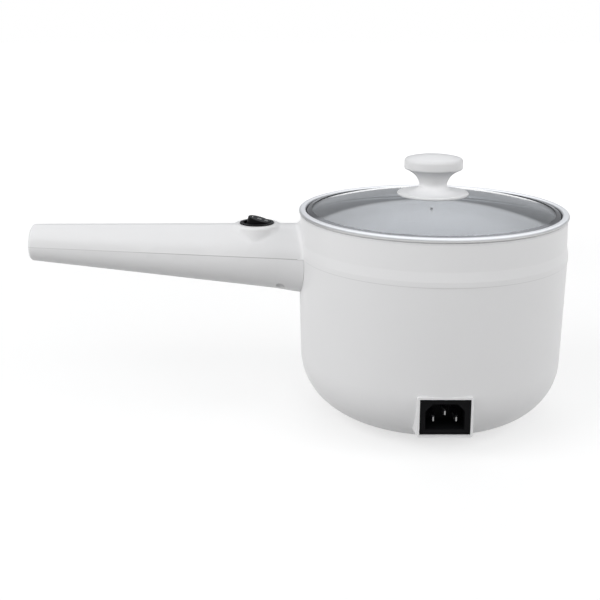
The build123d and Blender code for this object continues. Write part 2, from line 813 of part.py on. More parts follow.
with BuildPart() as earth_screw:
    with BuildSketch(Plane.XY.offset(plate_z - lug_t)):
        with Locations((0, earth_y)):
            Circle(small_head_r)
    extrude(amount=-small_head_h)
    with BuildSketch(Plane.XY.offset(plate_z - lug_t)):
        with Locations((0, earth_y)):
            Circle(small_screw_r)
    extrude(amount=lug_t + plate_t / 2)
finish(earth_screw, "earth_screw")

# ---------------------------------------------------------------- mains inlet

flange_plane = inlet_plane.offset(-(inlet_recess - inlet_flange_t))
blade_spots = ((-blade_pitch / 2, -blade_rise), (blade_pitch / 2, -blade_rise), (0, blade_rise))
rear_plane = flange_plane.offset(-inlet_body_d)

with BuildPart() as inlet_pins:
    with BuildSketch(flange_plane.offset(-(socket_d - blade_l))):
        with Locations(*blade_spots):
            Rectangle(blade_w, blade_h)
    extrude(amount=-(inlet_body_d - socket_d + blade_l))
    with BuildSketch(rear_plane):
        with Locations(*blade_spots):
            Rectangle(tab_t, tab_w)
    extrude(amount=-tab_l)
finish(inlet_pins, "inlet_pins")

with BuildPart() as inlet_socket:
    with BuildSketch(flange_plane):
        RectangleRounded(inlet_flange_w, inlet_flange_h, inlet_gap * 4)
    extrude(amount=-inlet_flange_t)
    with BuildSketch(flange_plane):
        Rectangle(inlet_body_w, inlet_body_h)
    extrude(amount=-inlet_body_d)
    with BuildSketch(flange_plane) as opening:
        Rectangle(socket_w, socket_h)
        chamfer(opening.vertices().group_by(Axis.Y)[-1], length=socket_chamfer)
    extrude(amount=-socket_d, mode=Mode.SUBTRACT)
    add(inlet_pins.part, mode=Mode.SUBTRACT)
finish(inlet_socket, "inlet_socket")

# ---------------------------------------------------------------- rocker switch

pivot = Vector(switch_x, 0, pivot_z)
throw = radians(rocker_throw)
rocker_plane = Plane(origin=pivot, x_dir=(cos(throw), 0, -sin(throw)), z_dir=(sin(throw), 0, cos(throw)))
pivot_plane = Plane(origin=pivot, x_dir=(1, 0, 0), z_dir=(0, 1, 0))
terminal_spots = [(switch_x + step * terminal_pitch, 0) for step in (-1, 0, 1)]

with BuildPart() as switch_terminals:
    with BuildSketch(Plane.XY.offset(switch_floor_z + switch_floor)):
        with Locations(*terminal_spots):
            Rectangle(terminal_t, terminal_w)
    extrude(amount=-(switch_floor + terminal_drop))
finish(switch_terminals, "switch_terminals")

with BuildPart() as switch_frame:
    with BuildSketch(Plane.XY.offset(switch_seat_z)):
        with Locations((switch_x, 0)):
            Circle(bezel_r)
    extrude(amount=bezel_t)
    fillet(switch_frame.edges().group_by(Axis.Z)[-1], radius=bezel_t * 0.6)
    with BuildSketch(Plane.XY.offset(switch_seat_z)):
        with Locations((switch_x, 0)):
            Circle(switch_hole_r - switch_body_gap)
    extrude(amount=-switch_body_h)
    with BuildSketch(Plane.XY.offset(switch_seat_z + bezel_t)):
        with Locations((switch_x, 0)):
            SlotOverall(2 * (rocker_r + rocker_gap + rocker_swing), 2 * (rocker_r + rocker_gap))
    extrude(amount=-(bezel_t + switch_body_h - switch_floor), mode=Mode.SUBTRACT)
    with BuildSketch(pivot_plane):
        Circle(pivot_pin_r + pivot_clearance)
    extrude(amount=pivot_pin_reach + rocker_gap, both=True, mode=Mode.SUBTRACT)
    add(switch_terminals.part, mode=Mode.SUBTRACT)
finish(switch_frame, "switch_frame")

with BuildPart() as switch_rocker:
    with BuildSketch(rocker_plane.offset(-pivot_pin_r - rocker_gap)):
        Circle(rocker_r)
    extrude(amount=rocker_top + pivot_pin_r + rocker_gap)
    fillet(switch_rocker.edges().filter_by(GeomType.CIRCLE).sort_by(Axis.Z)[-1], radius=rocker_gap * 2)
    with BuildSketch(rocker_plane):
        Circle(rocker_r / 2.5)
    extrude(amount=-rocker_top * 0.75)
    with BuildSketch(pivot_plane):
        Circle(pivot_pin_r)
    extrude(amount=pivot_pin_reach, both=True)
finish(switch_rocker, "switch_rocker")

# ---------------------------------------------------------------- receptacles on the tabs

sleeve_end_z = switch_floor_z - terminal_drop - sleeve_over
thermo_mid_z = thermo_tab_z + thermo_tab_t / 2
thermo_tab_end = thermo_body_r + thermo_tab_out
rear_y = rear_plane.origin.Y + tab_l + sleeve_over

with BuildPart() as inlet_receptacles:
    with BuildSketch(rear_plane.offset(-sleeve_t)):
        with Locations(*blade_spots):
            Rectangle(tab_t + 2 * sleeve_t, tab_w + 2 * sleeve_t)
    extrude(amount=-(tab_l + sleeve_over - sleeve_t))
    add(inlet_pins.part, mode=Mode.SUBTRACT)
finish(inlet_receptacles, "inlet_receptacles")

with BuildPart() as switch_receptacles:
    with BuildSketch(Plane.XY.offset(switch_floor_z - sleeve_t)):
        with Locations(*terminal_spots):
            Rectangle(terminal_t + 2 * sleeve_t, terminal_w + 2 * sleeve_t)
    extrude(amount=-(terminal_drop + sleeve_over - sleeve_t))
    add(switch_terminals.part, mode=Mode.SUBTRACT)
finish(switch_receptacles, "switch_receptacles")

with BuildPart() as thermostat_receptacles:
    with BuildSketch(Plane.XY.offset(thermo_mid_z)):
        Rectangle(thermo_tab_w + 2 * sleeve_t, 2 * (thermo_tab_end + sleeve_over))
        Rectangle(thermo_tab_w + 2 * sleeve_t, 2 * (thermo_body_r + sleeve_t), mode=Mode.SUBTRACT)
    extrude(amount=thermo_tab_t / 2 + sleeve_t, both=True)
    add(thermostat_tabs.part, mode=Mode.SUBTRACT)
finish(thermostat_receptacles, "thermostat_receptacles")

# ---------------------------------------------------------------- leads

tab_y = thermo_tab_end + sleeve_over
low_lead_z = cover_top_z + boss_h + 8
channel_r = pot_r + channel_gap + wire_r
turn_x = lead_turn - channel_r
riser_z = pot_floor_z + pot_corner_r        # above this the pot's wall is upright
turn_z = handle_root_z - 15
handle_lead_z = handle_root_z - 10.4


def into_handle(y, terminal):
    """Last points of a lead that climbs beside the pot and enters a switch terminal."""
    riser_x = -sqrt(channel_r**2 - y**2)
    x = switch_x + terminal * terminal_pitch
    across = [(x + 9, y, handle_lead_z)] if y else []
    return [
        (riser_x, y, riser_z),
        (riser_x, y, turn_z),
        (riser_x - 9, y, turn_z + 6),
        *across,
        (x, 0, handle_lead_z - 1),
        (x, 0, sleeve_end_z),
    ]


lead(
    "wire_live",
    [
        (-blade_pitch / 2, rear_y, inlet_z - blade_rise),
        (-blade_pitch / 2, rear_y + 7, inlet_z - blade_rise),
        (0.37 * turn_x, -38, low_lead_z + 1),
        (0.76 * turn_x, -14, low_lead_z),
        (turn_x, -lane, pot_floor_z - 14),
        *into_handle(-lane, 0),
    ],
)

lead(
    "wire_high",
    [
        (-wire_pair, tab_y, thermo_mid_z),
        (-wire_pair, tab_y + 6.4, thermo_mid_z),
        (0.4 * turn_x, 14, low_lead_z + 4),
        (0.82 * turn_x, 2, low_lead_z + 1),
        (turn_x, 0, pot_floor_z - 14),
        *into_handle(0, 1),
    ],
)

diode_run = ((0.26 * turn_x, 27, low_lead_z + 6), (0.76 * turn_x, 12, low_lead_z))
lead(
    "wire_low",
    [
        (wire_pair, tab_y, thermo_mid_z),
        (wire_pair, tab_y + 8.8, thermo_mid_z),
        *diode_run,
        (turn_x, lane, pot_floor_z - 14),
        *into_handle(lane, -1),
    ],
)

lead(
    "wire_neutral",
    [
        (blade_pitch / 2, rear_y, inlet_z - blade_rise),
        (blade_pitch / 2, rear_y + 5.7, inlet_z - blade_rise),
        (leg_points[1].X, rear_y + 9.7, leg_z - element_pin_h - 6.4),
        (leg_points[1].X, leg_points[1].Y, leg_z - element_pin_h - 7.8),
        (leg_points[1].X, leg_points[1].Y, leg_z - element_pin_h),
    ],
)

lead(
    "wire_earth",
    [
        (0, rear_y, inlet_z + blade_rise),
        (0, rear_y + 5.5, inlet_z + blade_rise),
        (0, rear_y + 10, plate_z - lug_t - wire_r),
        (0, earth_y - small_head_r - head_gap, plate_z - lug_t - wire_r),
    ],
)

fuse_z = plate_z - fuse_r
lead(
    "wire_link",
    [
        (wire_pair, -tab_y, thermo_mid_z),
        (wire_pair, -tab_y - 5, thermo_mid_z),
        (fuse_l / 2 + 6, -tab_y - 5.5, thermo_mid_z + 1),
        (fuse_l / 2 + 7, fuse_y, fuse_z),
        (fuse_l / 2, fuse_y, fuse_z),
    ],
)

lead(
    "wire_fuse",
    [
        (-fuse_l / 2, fuse_y, fuse_z),
        (-fuse_l / 2 - 8, fuse_y, fuse_z),
        (leg_points[0].X - 5, fuse_y - 10, leg_z),
        (leg_points[0].X, leg_points[0].Y + 5, leg_z - element_pin_h - 8),
        (leg_points[0].X, leg_points[0].Y, leg_z - element_pin_h - 8),
        (leg_points[0].X, leg_points[0].Y, leg_z - element_pin_h),
    ],
)

# insulated sleeve of the diode on the lead for the low setting
diode_axis = Vector(*diode_run[1]) - Vector(*diode_run[0])
diode_start = (Vector(*diode_run[0]) + Vector(*diode_run[1])) / 2 - diode_axis.normalized() * diode_l / 2
with BuildPart() as diode_sleeve:
    with BuildSketch(Plane(origin=diode_start, z_dir=diode_axis)):
        Circle(diode_r)
        Circle(wire_r, mode=Mode.SUBTRACT)
    extrude(amount=diode_l)
finish(diode_sleeve, "diode_sleeve")

# ---------------------------------------------------------------- lid

flat_r = sqrt(glass_under_r**2 - (glass_under_r - glass_under_z + lid_lip_z) ** 2)
with BuildPart() as lid_glass:
    with BuildSketch(Plane.XZ) as profile:
        with BuildLine():
            upper = dome_arc(0, glass_r)
            lower = dome_arc(flat_r, 0, glass_under_r, glass_under_z)
            Polyline(upper @ 1, (glass_r, lid_lip_z), lower @ 0)
            Line(lower @ 1, upper @ 0)
        make_face()
        chamfer(profile.vertices().group_by(Axis.X)[-1], length=glass_ground)
    revolve(axis=Axis.Z)
    with BuildSketch(Plane.XY.offset(dome_top_z)):
        Circle(knob_screw_r + knob_hole_gap)
        with Locations(vent_at):
            Circle(vent_r)
    extrude(amount=-3 * glass_t, mode=Mode.SUBTRACT)
finish(lid_glass, "lid_glass")

rim_mid_r = lid_rim_r - lid_rim_t / 2
rim_lift = lid_rim_t / 2 + lid_rim_gap
with BuildPart() as lid_rim:
    with BuildSketch(Plane.XZ):
        with BuildLine():
            FilletPolyline(
                (lid_rim_inner_r, dome_height(lid_rim_inner_r) + rim_lift),
                (rim_mid_r, dome_height(rim_mid_r) + rim_lift),
                (rim_mid_r, lid_lip_z - lid_rim_t / 2),
                (lid_rim_lip_r, lid_lip_z - lid_rim_t / 2),
                radius=lid_rim_bend,
            )
        trace(line_width=lid_rim_t)
    revolve(axis=Axis.Z)
finish(lid_rim, "lid_rim")

# ---------------------------------------------------------------- knob

disc_edge_z = dome_height(knob_disc_r) + knob_disc_edge
crown_h = knob_crown_z - knob_cap_z - knob_cap_h
crown_r = (knob_cap_r**2 + crown_h**2) / (2 * crown_h)
foot_w = knob_disc_r - knob_stem_r
foot_h = knob_stem_z - disc_edge_z
neck_w = knob_cap_r - knob_stem_r
neck_h = knob_cap_z - knob_stem_z

with BuildPart() as knob:
    with BuildSketch(Plane.XZ) as profile:
        with BuildLine():
            seat = dome_arc(0, knob_disc_r)
            Line(seat @ 1, (knob_disc_r, disc_edge_z))
            neck = Spline(
                (knob_disc_r, disc_edge_z),
                *[(knob_stem_r + foot_w * out, disc_edge_z + foot_h * up) for out, up in knob_foot_curve],
                (knob_stem_r, knob_stem_z),
                *[(knob_stem_r + neck_w * out, knob_stem_z + neck_h * up) for out, up in knob_neck_curve],
                (knob_cap_r, knob_cap_z),
                tangents=[(-1, 0.05), (1, 0.45)],
            )
            crown = dome_arc(knob_cap_r, 0, crown_r, knob_crown_z)
            Line(neck @ 1, crown @ 0)
            Line(crown @ 1, seat @ 0)
        make_face()
        rims = profile.vertices().group_by(Axis.X)
        fillet(rims[-1].sort_by(Axis.Y), radius=knob_disc_round)
        cap_edges = profile.vertices().sort_by_distance((knob_cap_r, knob_cap_z + knob_cap_h))
        fillet(cap_edges[0], radius=knob_edge_r)
        under_edges = profile.vertices().sort_by_distance((knob_cap_r, knob_cap_z))
        fillet(under_edges[0], radius=knob_under_r)
    revolve(axis=Axis.Z)
    with BuildSketch(Plane.XY.offset(dome_top_z - insert_r)):
        Circle(insert_r)
    extrude(amount=insert_r + insert_h, mode=Mode.SUBTRACT)
finish(knob, "knob")

with BuildPart() as knob_insert:
    with BuildSketch(Plane.XY.offset(dome_top_z)):
        Circle(insert_r)
        Circle(knob_screw_r, mode=Mode.SUBTRACT)
    extrude(amount=insert_h)
finish(knob_insert, "knob_insert")

pad_z = glass_under_z - knob_pad_t
with BuildPart() as knob_pad:
    with BuildSketch(Plane.XZ):
        with BuildLine():
            top = dome_arc(knob_screw_r, knob_pad_r, glass_under_r, glass_under_z)
            Polyline(top @ 1, (knob_pad_r, pad_z), (knob_screw_r, pad_z), top @ 0)
        make_face()
    revolve(axis=Axis.Z)
finish(knob_pad, "knob_pad")

with BuildPart() as knob_washer:
    with BuildSketch(Plane.XY.offset(pad_z)):
        Circle(knob_washer_r)
        Circle(knob_screw_r, mode=Mode.SUBTRACT)
    extrude(amount=-knob_washer_t)
finish(knob_washer, "knob_washer")

with BuildPart() as knob_screw:
    with BuildSketch(Plane.XY.offset(pad_z - knob_washer_t)):
        Circle(knob_head_r)
    extrude(amount=-knob_head_h)
    fillet(knob_screw.edges().group_by(Axis.Z)[0], radius=knob_head_h / 2)
    with BuildSketch(Plane.XY.offset(pad_z - knob_washer_t)):
        Circle(knob_screw_r)
    extrude(amount=dome_top_z + knob_screw_grip - pad_z + knob_washer_t)
finish(knob_screw, "knob_screw")
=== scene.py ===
import json
from math import cos, pi, radians, sin, tan

import bmesh
import bpy
from mathutils import Matrix, Vector


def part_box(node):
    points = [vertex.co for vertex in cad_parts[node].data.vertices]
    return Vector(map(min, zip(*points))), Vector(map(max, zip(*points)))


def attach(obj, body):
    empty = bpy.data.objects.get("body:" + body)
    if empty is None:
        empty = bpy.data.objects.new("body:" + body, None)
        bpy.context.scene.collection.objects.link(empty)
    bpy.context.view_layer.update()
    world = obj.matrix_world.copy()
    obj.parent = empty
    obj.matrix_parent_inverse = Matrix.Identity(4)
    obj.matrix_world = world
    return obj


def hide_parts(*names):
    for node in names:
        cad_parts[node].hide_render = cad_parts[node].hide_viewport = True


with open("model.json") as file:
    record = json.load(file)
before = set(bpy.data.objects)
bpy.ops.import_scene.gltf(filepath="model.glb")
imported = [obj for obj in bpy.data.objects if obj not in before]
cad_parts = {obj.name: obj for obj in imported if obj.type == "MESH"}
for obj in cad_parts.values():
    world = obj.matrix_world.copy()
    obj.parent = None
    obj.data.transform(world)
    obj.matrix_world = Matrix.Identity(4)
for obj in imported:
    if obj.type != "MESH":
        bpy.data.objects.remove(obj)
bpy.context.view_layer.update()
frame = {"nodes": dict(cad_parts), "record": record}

mm = 0.001
scene = bpy.context.scene


class Term:
    # one output of a node, used like a number in an expression
    def __init__(self, tree, socket):
        self.tree = tree
        self.socket = socket

    def math(self, operation, *others):
        node = self.tree.nodes.new("ShaderNodeMath")
        node.operation = operation
        for slot, value in zip(node.inputs, (self, *others)):
            feed(self.tree, slot, value)
        return Term(self.tree, node.outputs[0])

    def __add__(self, other):
        return self.math("ADD", other)

    def __radd__(self, other):
        return self.math("ADD", other)

    def __sub__(self, other):
        return self.math("SUBTRACT", other)

    def __rsub__(self, other):
        return (self * -1).math("ADD", other)

    def __mul__(self, other):
        return self.math("MULTIPLY", other)

    def over(self, low, high):  # 0 below low, 1 above high, smooth between
        node = self.tree.nodes.new("ShaderNodeMapRange")
        node.interpolation_type = "SMOOTHSTEP"
        feed(self.tree, node.inputs["Value"], self)
        node.inputs["From Min"].default_value = low
        node.inputs["From Max"].default_value = high
        return Term(self.tree, node.outputs["Result"])


def feed(tree, slot, value):
    if isinstance(value, Term):
        tree.links.new(value.socket, slot)
    else:
        slot.default_value = value


def opaque(tone):
    return (*tone, 1.0)


class Finish:
    # a material with its Principled shader, and one way to add any other node
    def __init__(self, name, **constants):
        self.material = bpy.data.materials.new(name)
        self.material.use_nodes = True
        self.tree = self.material.node_tree
        self.shader = self.tree.nodes["Principled BSDF"]
        for key, value in constants.items():
            self.shader.inputs[key.replace("_", " ")].default_value = value

    def node(self, kind, settings=(), out=0, **values):  # a value named i6 goes to the seventh input
        made = self.tree.nodes.new("ShaderNode" + kind)
        for key, value in dict(settings).items():
            setattr(made, key, value)
        for key, value in values.items():
            numbered = key[0] == "i" and key[1:].isdigit()
            feed(self.tree, made.inputs[int(key[1:]) if numbered else key.replace("_", " ")], value)
        return Term(self.tree, made.outputs[out])

    def place(self):
        return self.node("TexCoord", out="Object")

    def axes(self, point):
        outputs = self.node("SeparateXYZ", Vector=point).socket.node.outputs
        return [Term(self.tree, output) for output in outputs]

    def noise(self, point, scale, detail):
        return self.node("TexNoise", out="Fac", Vector=point, Scale=scale, Detail=detail)

    def blend(self, factor, first, second):
        return self.node("Mix", {"data_type": "RGBA"}, out=2, Factor=factor, i6=first, i7=second)

    def bump(self, height, distance):
        self.set("Normal", self.node("Bump", Height=height, Distance=distance))

    def set(self, slot, value):
        feed(self.tree, self.shader.inputs[slot], value)


def axisDistance(finish, point):  # distance from the pot's axis, and height
    x, y, z = finish.axes(point)
    return (x * x + y * y).math("SQRT"), z


parting = {"height": 109.4 * mm, "start": -82.7 * mm, "tilt": radians(1.8)}  # where the handle's halves meet

seamLook = {
    "height": 109.3 * mm,         # the joint of the collar and the lower housing
    "handleFrom": -90.0 * mm,     # the handle's own line starts here
    "handleBlend": 1.0 * mm,
    "halfWidth": 0.28 * mm,
    "core": 0.4,                  # share of the width that has the full shade
    "tone": (0.42, 0.42, 0.42),
    "faint": 0.4,                 # share of the shade around the collar and at the handle's tip
    "tip": -235.0 * mm,
    "strongFrom": -150.0 * mm,    # the full shade runs from here to the handle's root
}


def seamMask(finish, point):  # 1 in the thin shadow where two mouldings meet
    x, _, z = finish.axes(point)
    start = -seamLook["handleFrom"]
    onHandle = (x * -1).over(start - seamLook["handleBlend"], start)
    rise = (parting["start"] - x) * tan(parting["tilt"]) * onHandle
    away = (z - seamLook["height"] - rise).math("ABSOLUTE")
    strong = x.over(seamLook["tip"], seamLook["strongFrom"]) * onHandle
    depth = seamLook["faint"] + strong * (1.0 - seamLook["faint"])
    return (1.0 - away.over(seamLook["halfWidth"] * seamLook["core"], seamLook["halfWidth"])) * depth


plasticDetail = {
    "ior": 1.47,
    "cloud": 14.0,             # scale of the slow change in tone
    "cloudShare": 0.7,
    "speckShare": 0.3,
    "cloudRoughness": 0.10,
    "speckRoughness": 0.08,
    "wave": 22.0,              # scale of the moulding's slow unevenness
    "waveRelief": 1.5,
    "speckRelief": 0.5,
}


def mouldedPlastic(name, low, high, roughness, grain, relief=0.00002, gloss=0.5, seams=False):
    detail = plasticDetail
    finish = Finish(name, Roughness=roughness, IOR=detail["ior"], Specular_IOR_Level=gloss)
    point = finish.place()
    cloud = finish.noise(point, detail["cloud"], 3.0)
    speck = finish.noise(point, grain, 2.0)
    patch = cloud * detail["cloudShare"] + speck * detail["speckShare"]
    tone = finish.blend(patch, opaque(low), opaque(high))
    if seams:
        tone = finish.blend(seamMask(finish, point), tone, opaque(seamLook["tone"]))
    finish.set("Base Color", tone)
    spread = (cloud - 0.5) * detail["cloudRoughness"] + (speck - 0.5) * detail["speckRoughness"]
    finish.set("Roughness", roughness + spread)
    wave = finish.noise(point, detail["wave"], 1.0)
    finish.bump(speck * detail["speckRelief"] + wave * detail["waveRelief"], relief)
    return finish.material


steelDetail = {
    "broad": 1 / 9,            # scale of the broad rings, as a share of the fine ones
    "stain": 30.0,
    "broadShare": 0.4,
    "stainShare": 0.6,
    "fineRoughness": 0.16,
    "stainRoughness": 0.10,
}
# painted: a flat tone on the bead from this height up, setting how bright its highlight shows, and shade on
# the wall beside the lid's rim from this distance from the axis
paintedBeadLook = {"from": 134.5 * mm, "to": 135.3 * mm, "tone": (0.56, 0.56, 0.56), "roughness": 0.12}
paintedWallShade = {"from": 81.5 * mm, "to": 82.5 * mm, "tone": (0.12, 0.12, 0.12)}


def turnedSteel(name, low, high, roughness, rings, relief, bead=False):
    detail = steelDetail
    finish = Finish(name, Metallic=1.0, Roughness=roughness)
    point = finish.place()
    radius, height = axisDistance(finish, point)
    lines = finish.node("CombineXYZ", X=radius, Z=height)
    fine = finish.noise(lines, rings, 2.0)
    broad = finish.noise(lines, rings * detail["broad"], 2.0)
    stain = finish.noise(point, detail["stain"], 3.0)
    patch = broad * detail["broadShare"] + stain * detail["stainShare"]
    tone = finish.blend(patch, opaque(low), opaque(high))
    grain = roughness + (fine - 0.5) * detail["fineRoughness"] + (stain - 0.5) * detail["stainRoughness"]
    if bead:  # painted shade darkens the wall beside the lid's rim; the rolled bead above it gets a flat painted tone that sets its highlight, and more roughness
        wall = radius.over(paintedWallShade["from"], paintedWallShade["to"])
        tone = finish.blend(wall, tone, opaque(paintedWallShade["tone"]))
        rim = height.over(paintedBeadLook["from"], paintedBeadLook["to"])
        tone = finish.blend(rim, tone, opaque(paintedBeadLook["tone"]))
        grain = grain + rim * paintedBeadLook["roughness"]
    finish.set("Base Color", tone)
    finish.set("Roughness", grain)
    finish.bump(fine, relief)
    return finish.material


metalDetail = {"blotch": 260.0, "grain": 2080.0, "spread": 0.2, "relief": 0.00001}


def plainMetal(name, low, high, roughness):
    finish = Finish(name, Metallic=1.0, Roughness=roughness)
    point = finish.place()
    blotch = finish.noise(point, metalDetail["blotch"], 3.0)
    finish.set("Base Color", finish.blend(blotch, opaque(low), opaque(high)))
    finish.set("Roughness", roughness + (blotch - 0.5) * metalDetail["spread"])
    finish.bump(finish.noise(point, metalDetail["grain"], 2.0), metalDetail["relief"])
    return finish.material


glassLook = {
    "ior": 1.6,
    "low": (0.82, 0.85, 0.86),
    "high": (0.85, 0.87, 0.88),
    "smear": 26.0,
    "smearFrom": 0.45,         # the noise above this dulls the glass a little
    "dulling": 0.06,
    "wave": 18.0,
    "relief": 0.00002,
}


def clearGlass(name):
    finish = Finish(name, IOR=glassLook["ior"], Transmission_Weight=1.0)
    point = finish.place()
    smear = finish.noise(point, glassLook["smear"], 3.0)
    finish.set("Base Color", finish.blend(smear, opaque(glassLook["low"]), opaque(glassLook["high"])))
    finish.set("Roughness", (smear - glassLook["smearFrom"]).math("MAXIMUM", 0.0) * glassLook["dulling"])
    finish.bump(finish.noise(point, glassLook["wave"], 1.0), glassLook["relief"])
    return finish.material


rubberDetail = {"ior": 1.45, "dust": 420.0, "grain": 2200.0, "spread": 0.2, "relief": 0.00003}


def softRubber(name, low, high, roughness=0.7):
    finish = Finish(name, Roughness=roughness, IOR=rubberDetail["ior"])
    point = finish.place()
    dust = finish.noise(point, rubberDetail["dust"], 4.0)
    finish.set("Base Color", finish.blend(dust, opaque(low), opaque(high)))
    finish.set("Roughness", roughness + (dust - 0.5) * rubberDetail["spread"])
    finish.bump(finish.noise(point, rubberDetail["grain"], 2.0), rubberDetail["relief"])
    return finish.material


blackLook = {"low": (0.003, 0.003, 0.0035), "high": (0.006, 0.006, 0.0065), "grain": 2400.0}

finishes = {
    "housing": mouldedPlastic(
        "housingPlastic", (0.72, 0.72, 0.725), (0.76, 0.76, 0.765), 0.34, 1400.0, seams=True),
    "base_plastic": mouldedPlastic(
        "basePlastic", (0.66, 0.66, 0.67), (0.70, 0.70, 0.71), 0.5, 1800.0, relief=0.00004),
    "black_plastic": mouldedPlastic("blackPlastic", **blackLook, roughness=0.5, gloss=0.07),
    "rocker_plastic": mouldedPlastic(
        "rockerPlastic", **blackLook, roughness=0.42, relief=0.00001, gloss=0.05),
    # bead=True paints shade on the wall beside the lid's rim and a flat tone on the rolled bead
    "pot_steel": turnedSteel(
        "potSteel", (0.56, 0.56, 0.575), (0.61, 0.61, 0.625), 0.32, 2600.0, 0.000001, bead=True),
    # painted shade: the lid's polished rim steel is toned near-black so the ring between the glass and the
    # bead reads dark
    "rim_steel": turnedSteel("rimSteelPaintedShade", (0.11, 0.11, 0.115), (0.15, 0.15, 0.155), 0.12, 3600.0, 0.000002),
    "plate_aluminium": plainMetal("castAluminium", (0.55, 0.56, 0.58), (0.66, 0.67, 0.69), 0.48),
    "fastener": plainMetal("platedSteel", (0.55, 0.55, 0.57), (0.66, 0.66, 0.68), 0.32),
    "contact_brass": plainMetal("contactBrass", (0.62, 0.58, 0.50), (0.72, 0.68, 0.60), 0.30),
    "ceramic": softRubber("ceramicBody", (0.72, 0.69, 0.62), (0.80, 0.78, 0.72), 0.8),
    "seal": softRubber("siliconeSeal", (0.66, 0.66, 0.67), (0.72, 0.72, 0.73), 0.6),
    "foot_rubber": softRubber("footRubber", (0.02, 0.02, 0.02), (0.035, 0.035, 0.035)),
    "lead_sleeve": softRubber("leadSleeve", (0.70, 0.70, 0.67), (0.78, 0.78, 0.75), 0.55),
    "lead_brown": softRubber("leadBrown", (0.12, 0.05, 0.02), (0.16, 0.07, 0.03), 0.5),
    "lead_blue": softRubber("leadBlue", (0.03, 0.10, 0.32), (0.04, 0.13, 0.40), 0.5),
    "lead_green": softRubber("leadGreen", (0.12, 0.30, 0.04), (0.17, 0.38, 0.06), 0.5),
    "lead_white": softRubber("leadWhite", (0.66, 0.66, 0.64), (0.74, 0.74, 0.72), 0.5),
    "lid_glass": clearGlass("lidGlass"),
}
print("finishes made:", len(finishes))

slotOf = {entry["node"]: entry["material_slot"] for entry in frame["record"]["subparts"]}
for nodeName, nodeObject in frame["nodes"].items():
    nodeObject.data.materials.clear()
    nodeObject.data.materials.append(finishes[slotOf[nodeName]])


def hideFromGloss(item):  # keeps its mirror image out of the glass
    item.visible_glossy = False
    item.visible_transmission = False


for nodeName in ("knob", "knob_insert"):
    hideFromGloss(frame["nodes"][nodeName])
print("CAD nodes dressed:", len(frame["nodes"]))


def spun(shape, outline, steps):
    # turns a line of (radius, height) points about Z
    points = [shape.verts.new((radius, 0, height)) for radius, height in outline]
    edges = [shape.edges.new(pair) for pair in zip(points, points[1:])]
    bmesh.ops.spin(shape, geom=points + edges, axis=(0, 0, 1), cent=(0, 0, 0), angle=2 * pi, steps=steps,
                   use_merge=True)


def block(shape, centre, size):
    box = Matrix.LocRotScale(Vector(centre), None, Vector(size))
    return bmesh.ops.create_cube(shape, size=1.0, matrix=box)["verts"]


def makePiece(name, shape, body, slot, look=None, instead=(), sharp=35.0):
    bmesh.ops.remove_doubles(shape, verts=shape.verts, dist=1e-6)
    bmesh.ops.recalc_face_normals(shape, faces=shape.faces)
    mesh = bpy.data.meshes.new(name)
    shape.to_mesh(mesh)
    shape.free()
    mesh.polygons.foreach_set("use_smooth", [True] * len(mesh.polygons))
    mesh.set_sharp_from_angle(angle=radians(sharp))
    made = bpy.data.objects.new(name, mesh)
    scene.collection.objects.link(made)
    made.data.materials.append(look or finishes[slot])
    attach(made, body)
    if instead:
        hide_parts(*instead)
    return made


marks = {
    "pivot": (-116.6 * mm, 0, 126.1 * mm),
    "turn": 16.0,               # degrees, the rocker's first position
    "face": 6.0 * mm,           # its top face above the pivot
    "rise": 0.05 * mm,
    "bevel": 0.04 * mm,
    "line": 0.55 * mm,
    "length": 2.6 * mm,
    "pitch": 4.6 * mm,
    "pair": 0.65 * mm,          # half the distance of the two bars
    "ring": 1.15 * mm,
    "steps": 28,
    "low": (0.44, 0.44, 0.44),
    "high": (0.52, 0.52, 0.52),
    "roughness": 0.6,
}


def makeMarks():
    shape = bmesh.new()
    pitch, pair, rise = marks["pitch"], marks["pair"], marks["rise"]
    for x in (-pitch, pitch - pair, pitch + pair):
        corners = block(shape, (x, 0, 0), (marks["line"], marks["length"], 2 * rise))
        edges = list({edge for point in corners for edge in point.link_edges})
        bmesh.ops.bevel(shape, geom=edges, offset=marks["bevel"], segments=2, profile=0.5, affect="EDGES",
                        material=-1)
    inner, outer = marks["ring"] - marks["line"] / 2, marks["ring"] + marks["line"] / 2
    ring = [(inner, -rise), (inner, rise), (outer, rise), (outer, -rise), (inner, -rise)]
    spun(shape, ring, marks["steps"])
    turn = Matrix.Rotation(radians(marks["turn"]), 4, "Y")
    lift = Matrix.Translation((0, 0, marks["face"]))
    bmesh.ops.transform(shape, matrix=Matrix.Translation(marks["pivot"]) @ turn @ lift, verts=shape.verts)
    paint = softRubber("markPaint", marks["low"], marks["high"], marks["roughness"])
    makePiece("switchMarks", shape, "rocker", "rocker_plastic", paint)


makeMarks()
print("switch marks made")


blades = {
    "spots": ((-7.0 * mm, 25.7 * mm), (7.0 * mm, 25.7 * mm), (0, 29.7 * mm)),
    "start": -84.8 * mm,
    "root": -66.3 * mm,
    "section": (2.0 * mm, 4.0 * mm),
    "tip": 1.5 * mm,              # length of the bevelled end
    "tipSection": (0.40, 0.66),   # share of the section left at its face
    "tabEnd": -58.3 * mm,
    "tab": (0.8 * mm, 6.3 * mm),
    "low": (0.30, 0.30, 0.30),
    "high": (0.38, 0.38, 0.375),
    "roughness": 0.3,
    "sharp": 20.0,
}


